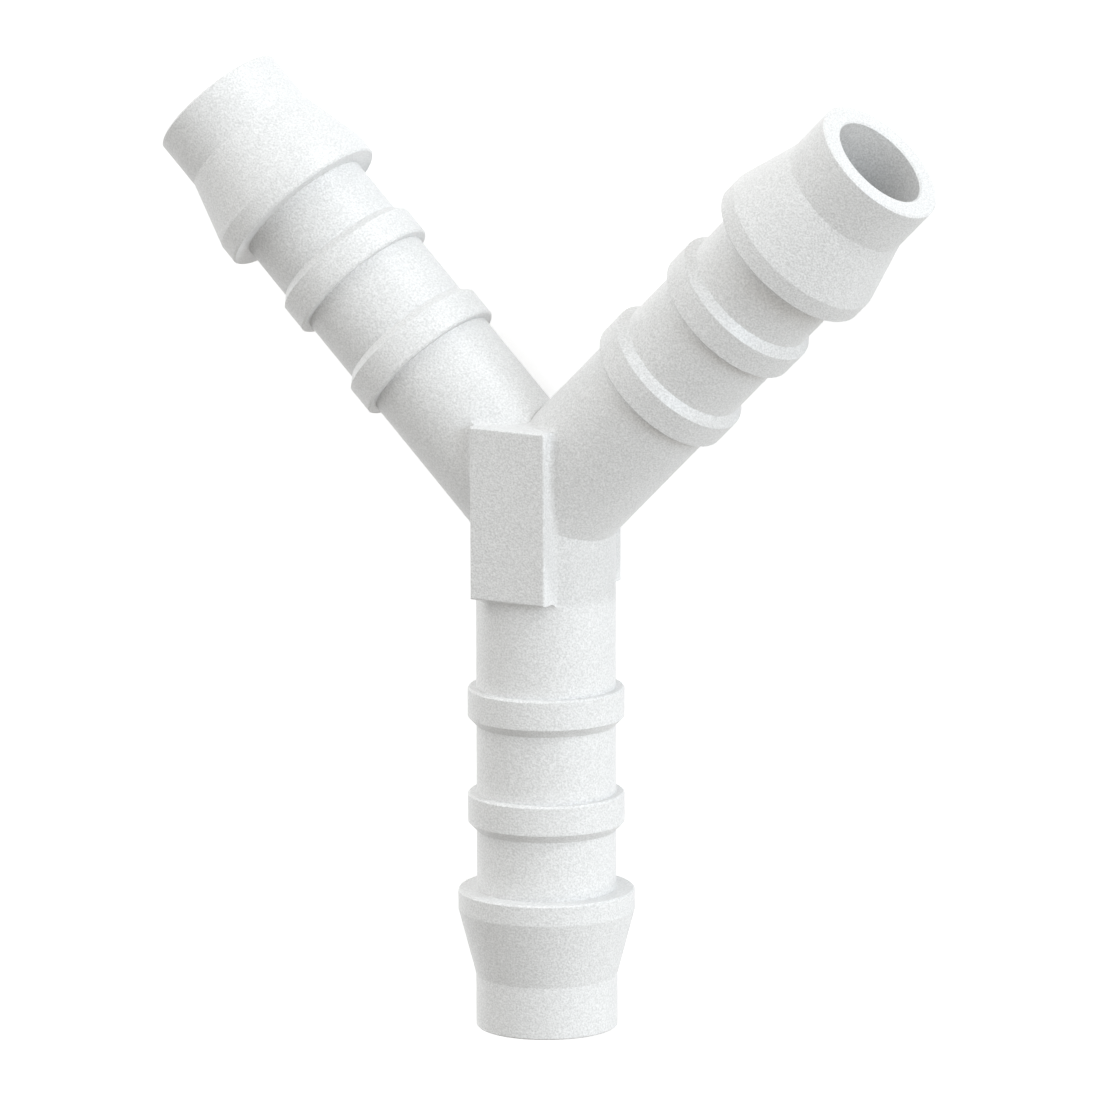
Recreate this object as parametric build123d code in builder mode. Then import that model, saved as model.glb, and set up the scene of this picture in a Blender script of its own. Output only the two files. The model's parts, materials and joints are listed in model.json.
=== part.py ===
from build123d import *
import os
from math import cos, radians, sin, tan

# Tubing Y connector: three equal hose barbs on one flat-sided hub, moulded in one piece.
# Millimetres. It lies flat: the legs' axes are level, the single leg points to -Y and the
# pair to +Y, and the three barb heads rest on z = 0. The origin is under the middle of its box.

# Legs, each measured along its own axis
leg_length = 30.5              # from the point where the three axes meet to the open tip
branch_angle = 45.0            # between each leg of the pair and the +Y direction
tube_d = 8.0
bore_d = 5.75
tip_d = 8.13
tip_length = 3.05
barb_d = 10.15
barb_cone_length = 3.85
barb_land = 1.2                # cylindrical rim behind the cone, up to the square step
rib_height = 0.5
rib_length = 2.2               # from the foot of its chamfer to its square step
rib_chamfer_angle = 45.0
rib_starts = (11.55, 17.7)     # from the open tip to the foot of each chamfer
rim_break = 0.1                # broken corners of the tip, the barb and the ribs
mouth_break = 0.1              # broken inner corner of the open tip

# Hub: a slab across the meeting point, proud of the legs above and below
hub_width = 4.85
hub_proud = 0.525              # how far it stands above the legs, and below them
crotch_gap = 0.657             # from its end to the bottom of the V between the pair
hub_edge_round = 0.12
hub_root_round = 0.4           # where the slab's walls run into the legs, as far as they have room

tube_r = tube_d / 2
bore_r = bore_d / 2
tip_r = tip_d / 2
barb_r = barb_d / 2
rib_r = tube_r + rib_height
barb_step = tip_length + barb_cone_length + barb_land
rib_chamfer_length = rib_height / tan(radians(rib_chamfer_angle))
hub_length = 2 * (tube_r / sin(radians(branch_angle)) - crotch_gap)
hub_thickness = tube_d + 2 * hub_proud
root_room = 0.99 * (hub_proud - hub_edge_round)

# The broken outer corner of a tip sets how far the pair reaches to +Y
pair_reach = max(leg_length * cos(radians(branch_angle)) + (tip_r - rim_break) * sin(radians(branch_angle)),
                 (leg_length - rim_break) * cos(radians(branch_angle)) + tip_r * sin(radians(branch_angle)))
junction = Vector(0, (leg_length - pair_reach) / 2, barb_r)
leg_headings = (180.0, branch_angle, -branch_angle)     # clockwise from +Y, seen from above


def outward(heading):
    """The level direction in which a leg runs out from the junction."""
    return Vector(sin(radians(heading)), cos(radians(heading)), 0)


def leg_corners():
    """Half section of a leg on one side of its axis, from the junction out to the tip."""
    corners = [(0, 0), (0, tube_r)]
    for start in sorted(rib_starts, reverse=True):
        foot = leg_length - start
        step = foot - rib_length
        corners += [(step, tube_r), (step, rib_r)]
        corners += [(foot - rib_chamfer_length, rib_r), (foot, tube_r)]
    step = leg_length - barb_step
    corners += [(step, tube_r), (step, barb_r), (step + barb_land, barb_r)]
    corners += [(leg_length - tip_length, tip_r), (leg_length, tip_r), (leg_length, 0)]
    return corners


def rim_corners(section):
    """The section's corners that the mould breaks: the square steps' rims and the tip's."""
    rims = [(leg_length - start - rib_length, rib_r) for start in rib_starts]
    rims += [(leg_length - barb_step, barb_r), (leg_length, tip_r)]
    return [corner for corner in section.vertices()
            if any((corner.center() - Vector(*rim)).length < 1e-6 for rim in rims)]


with BuildPart() as y_connector:
    # The three legs, turned from one section
    for heading in leg_headings:
        with BuildSketch(Plane(junction, outward(heading), (0, 0, 1))) as leg_section:
            with BuildLine():
                Polyline(*leg_corners(), close=True)
            make_face()
            chamfer(rim_corners(leg_section.sketch_local), rim_break)
        revolve(axis=Axis(junction, outward(heading)))

    # The hub's slab, its roots on the legs and its own edges
    with BuildSketch(Plane(junction)):
        Rectangle(hub_width, hub_length)
    extrude(amount=hub_thickness / 2, both=True)
    fillet(y_connector.edges(Select.NEW), min(hub_root_round, root_room))
    for side in (-1, 1):
        rim_height = junction.Z + side * hub_thickness / 2
        fillet(y_connector.edges().filter_by_position(Axis.Z, rim_height, rim_height), hub_edge_round)

    # The bores, which meet at the junction
    for heading in leg_headings:
        with BuildSketch(Plane(junction, z_dir=outward(heading))):
            Circle(bore_r)
        extrude(amount=leg_length, mode=Mode.SUBTRACT)
    mouths = y_connector.edges(Select.ALL).filter_by(GeomType.CIRCLE)
    chamfer([mouth for mouth in mouths if abs(mouth.radius - bore_r) < 1e-6], mouth_break)

y_connector.part.label = "y_connector"

os.makedirs("parts", exist_ok=True)
export_step(y_connector.part, "parts/y_connector.step")
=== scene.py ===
import bpy
import json
from math import cos, radians, sin
from mathutils import Matrix, Vector


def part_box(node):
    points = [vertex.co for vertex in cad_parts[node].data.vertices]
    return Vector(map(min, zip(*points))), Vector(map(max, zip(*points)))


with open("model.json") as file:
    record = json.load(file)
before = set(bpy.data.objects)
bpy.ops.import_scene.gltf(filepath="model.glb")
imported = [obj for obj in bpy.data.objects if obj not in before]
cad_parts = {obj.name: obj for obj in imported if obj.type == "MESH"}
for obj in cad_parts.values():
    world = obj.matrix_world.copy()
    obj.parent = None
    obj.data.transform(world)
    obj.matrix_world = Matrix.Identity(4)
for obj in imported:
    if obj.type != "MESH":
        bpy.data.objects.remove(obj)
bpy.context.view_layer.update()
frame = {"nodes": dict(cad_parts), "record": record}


# ------------------------------------------------------------------ the y connector
# The whole fitting is one injection moulding in undyed white plastic, with no second
# piece. The mould's blasted steel leaves it satin, with a fine grain on every face.
# The solid comes from the part and only gets its material here.

MM = 0.001


class Shading:
    """The emptied node tree of a material or a world, to which nodes are added by type."""

    def __init__(self, owner):
        owner.use_nodes = True
        self.tree = owner.node_tree
        self.tree.nodes.clear()

    def node(self, kind, settings=None, inputs=None, output=0):
        """Adds a node, makes its settings, then gives each socket its value or its link."""
        node = self.tree.nodes.new("ShaderNode" + kind)
        for name, value in (settings or {}).items():
            setattr(node, name, value)
        for name, value in (inputs or {}).items():
            if isinstance(value, Socket):
                self.tree.links.new(value.socket, node.inputs[name])
            else:
                node.inputs[name].default_value = value
        return Socket(self, node.outputs[output]) if node.outputs else None


class Socket:
    """One output of a node. Arithmetic on it adds Math nodes."""

    def __init__(self, shading, socket):
        self.shading = shading
        self.socket = socket

    def maths(self, operation, *values):
        return self.shading.node("Math", {"operation": operation}, dict(enumerate(values)))

    def __add__(self, other):
        return self.maths("ADD", self, other)

    def __radd__(self, other):
        return self.maths("ADD", other, self)

    def __sub__(self, other):
        return self.maths("SUBTRACT", self, other)

    def __rsub__(self, other):
        return self.maths("SUBTRACT", other, self)

    def __mul__(self, other):
        return self.maths("MULTIPLY", self, other)

    def __rmul__(self, other):
        return self.maths("MULTIPLY", other, self)

    def __pow__(self, other):
        return self.maths("POWER", self, other)

    def __rpow__(self, other):
        return self.maths("POWER", other, self)

    def between(self, lowest, highest):
        """The value, held between two limits."""
        return self.maths("MINIMUM", self.maths("MAXIMUM", self, lowest), highest)


def noise(shading, blotch, detail):
    """Solid noise from 0 to 1, whose blotches are about one blotch of metres across."""
    place = shading.node("TexCoord", output="Object")
    return shading.node("TexNoise", inputs={"Vector": place, "Scale": 1 / blotch, "Detail": detail})


def mixed_colour(shading, share, first, second):
    """A colour from the first at share 0 to the second at share 1."""
    factor, colour_a, colour_b = 0, 6, 7
    return shading.node("Mix", {"data_type": "RGBA"},
                        {factor: share, colour_a: first, colour_b: second}, output=2)


grain_size = 0.11 * MM
grain_contrast = 2.3
mottle_size = 1.6 * MM
mottle_contrast = 0.12
grain_dark = (0.62, 0.62, 0.617, 1.0)
grain_light = (0.82, 0.82, 0.82, 1.0)

# Painted glints: tiny near-white specks put into the colour at random spots, standing in for the
# sparkle of light off the satin faces.
painted_glint_size = 0.12 * MM
painted_glint_start = 0.68
painted_glint_full = 0.78
painted_glint_share = 0.45
painted_glint_colour = (0.9, 0.9, 0.9, 1.0)

mean_roughness = 0.36
roughness_change = 0.2
roughness_limits = (0.25, 0.5)
grain_height = 0.025 * MM
grain_strength = 0.9

plastic = bpy.data.materials.new("white_plastic")
shading = Shading(plastic)
grain = noise(shading, grain_size, detail=1.0)
mottle = noise(shading, mottle_size, detail=3.0)
tone = 0.5 + (grain - 0.5) * grain_contrast + (mottle - 0.5) * mottle_contrast
# The painted glints: a noise that picks the spots where the colour turns near white, whatever the
# light.
painted_glints = shading.node("MapRange", {"interpolation_type": "SMOOTHSTEP"},
                      {"Value": noise(shading, painted_glint_size, detail=0.0),
                       "From Min": painted_glint_start, "From Max": painted_glint_full, "To Max": painted_glint_share})
colour = mixed_colour(shading, tone.between(0.0, 1.0), grain_dark, grain_light)
colour = mixed_colour(shading, painted_glints, colour, painted_glint_colour)
roughness = mean_roughness + (grain - 0.5) * roughness_change
relief = shading.node("Bump", inputs={"Strength": grain_strength, "Distance": grain_height,
                                      "Height": grain})
surface = shading.node("BsdfPrincipled", inputs={"Base Color": colour,
                                                 "Roughness": roughness.between(*roughness_limits),
                                                 "Normal": relief})
shading.node("OutputMaterial", inputs={"Surface": surface})

bpy.ops.object.select_all(action="DESELECT")
connector = frame["nodes"]["y_connector"]
for slot in connector.material_slots:
    slot.material = plastic


# ------------------------------------------------------------------------- the floor
# A wide sheet of matt white paper that the connector lies on, on its three barb heads.
# It takes the connector's shadow, and is lifted to white where it is looked at.

floor_width = 6.0
floor_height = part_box("y_connector")[0][2]
floor_lift = 0.6
paper_white = (0.8, 0.8, 0.8, 1.0)

bpy.ops.mesh.primitive_plane_add(size=floor_width, location=(0, 0, floor_height))
bpy.ops.object.transform_apply(location=True, rotation=False, scale=False)
floor = bpy.context.object
floor.name = "floor"


def looked_at(shading):
    """1 where a camera ray, or a ray that a shiny or clear surface sends on, meets this."""
    camera_ray = shading.node("LightPath", output="Is Camera Ray")
    glossy_ray = shading.node("LightPath", output="Is Glossy Ray")
    through_ray = shading.node("LightPath", output="Is Transmission Ray")
    return (camera_ray + glossy_ray + through_ray).between(0.0, 1.0)


paper = bpy.data.materials.new("floor_white")
shading = Shading(paper)
sheet = shading.node("BsdfDiffuse", inputs={"Color": paper_white})
lift = shading.node("Emission", inputs={"Strength": looked_at(shading) * floor_lift})
lifted = shading.node("AddShader", inputs={0: sheet, 1: lift})
shading.node("OutputMaterial", inputs={"Surface": lifted})
floor.data.materials.append(paper)


# ------------------------------------------------------------------ the two lamps
# The key is small and almost level with the floor. It shines along the right-hand leg of
# the pair, whose barb head shades the tube behind it. The fill is a big cool lamp higher
# up on the right, that draws a soft sheen along the tubes.


def distant_lamp(name, stand, strength, colour, width):
    """A lamp far off in the direction stand, as wide in the sky as width in degrees."""
    bpy.ops.object.light_add(type="SUN", rotation=Vector(stand).to_track_quat("Z", "Y").to_euler())
    lamp = bpy.context.object
    lamp.name = name
    lamp.data.energy = strength
    lamp.data.color = colour
    lamp.data.angle = radians(width)


distant_lamp("key", stand=(0.662, 0.749, 0.01), strength=0.69, colour=(0.93, 0.97, 1.0), width=1.0)
distant_lamp("fill", stand=(0.916, 0.268, 0.281), strength=0.97, colour=(0.74, 0.87, 1.0), width=28.0)


# ------------------------------------------------------------------ the soft surround
# Big soft panels around the table, as one world. Each has the way it stands and the
# colour of its middle, and fades with the square of the cosine to that middle.

soft_panels = (
    ((1, 0, 0), (1.90, 1.84, 1.74)),
    ((-1, 1, 0), (2.68, 2.71, 2.70)),
    ((-1, 0, 0), (0.105, 0.105, 0.105)),
    ((0, 0, 1), (0.335, 0.33, 0.315)),
)

shown_white = (1.0, 1.0, 1.0, 1.0)

world = bpy.data.worlds.new("surround")
bpy.context.scene.world = world
shading = Shading(world)
way = shading.node("TexCoord", output="Generated")
glow = (0.0, 0.0, 0.0)
for stand, middle in soft_panels:
    facing = shading.node("VectorMath", {"operation": "DOT_PRODUCT"},
                          {0: way, 1: Vector(stand).normalized()}, output="Value")
    light = shading.node("VectorMath", {"operation": "SCALE"},
                         {0: middle, "Scale": facing.between(0.0, 1.0) ** 2})
    glow = shading.node("VectorMath", {"operation": "ADD"}, {0: glow, 1: light})
shown = mixed_colour(shading, looked_at(shading), glow, shown_white)
background = shading.node("Background", inputs={"Color": shown})
shading.node("OutputWorld", inputs={"Surface": background})


# ------------------------------------------------------------------------ the camera
# A long lens above the table, that looks down on the part from the right of its single
# leg. It is aimed by the point where the three legs' axes meet.

azimuth = radians(29.29)
tilt = radians(11.39)
roll = radians(-0.15)
distance = 760.6 * MM
view_width = 62.75 * MM            # of the view, at the point where the axes meet
junction_right = -0.242 * MM       # that point's place in the view, from its middle
junction_up = 2.636 * MM

stem = [mount for mount in frame["record"]["mounts"] if mount["name"] == "stem_bore"][0]
bore_length = stem["dims"]["length_mm"] * MM
junction = Vector(stem["pos_m"]) - Vector(stem["axis"]) * bore_length

right = Vector((cos(azimuth), 0, -sin(azimuth)))
back = Vector((sin(azimuth) * cos(tilt), sin(tilt), cos(azimuth) * cos(tilt)))
up = back.cross(right)
rolled_right = right * cos(roll) + up * sin(roll)
rolled_up = up * cos(roll) - right * sin(roll)

bpy.ops.object.camera_add()
camera = bpy.context.object
camera.name = "camera"
camera.data.lens = camera.data.sensor_width * distance / view_width
place = junction + back * distance - right * junction_right - up * junction_up
turn = Matrix((rolled_right, rolled_up, back)).transposed().to_4x4()
camera.matrix_world = Matrix.Translation(place) @ turn
bpy.context.scene.camera = camera
bpy.context.scene.view_settings.view_transform = "Standard"
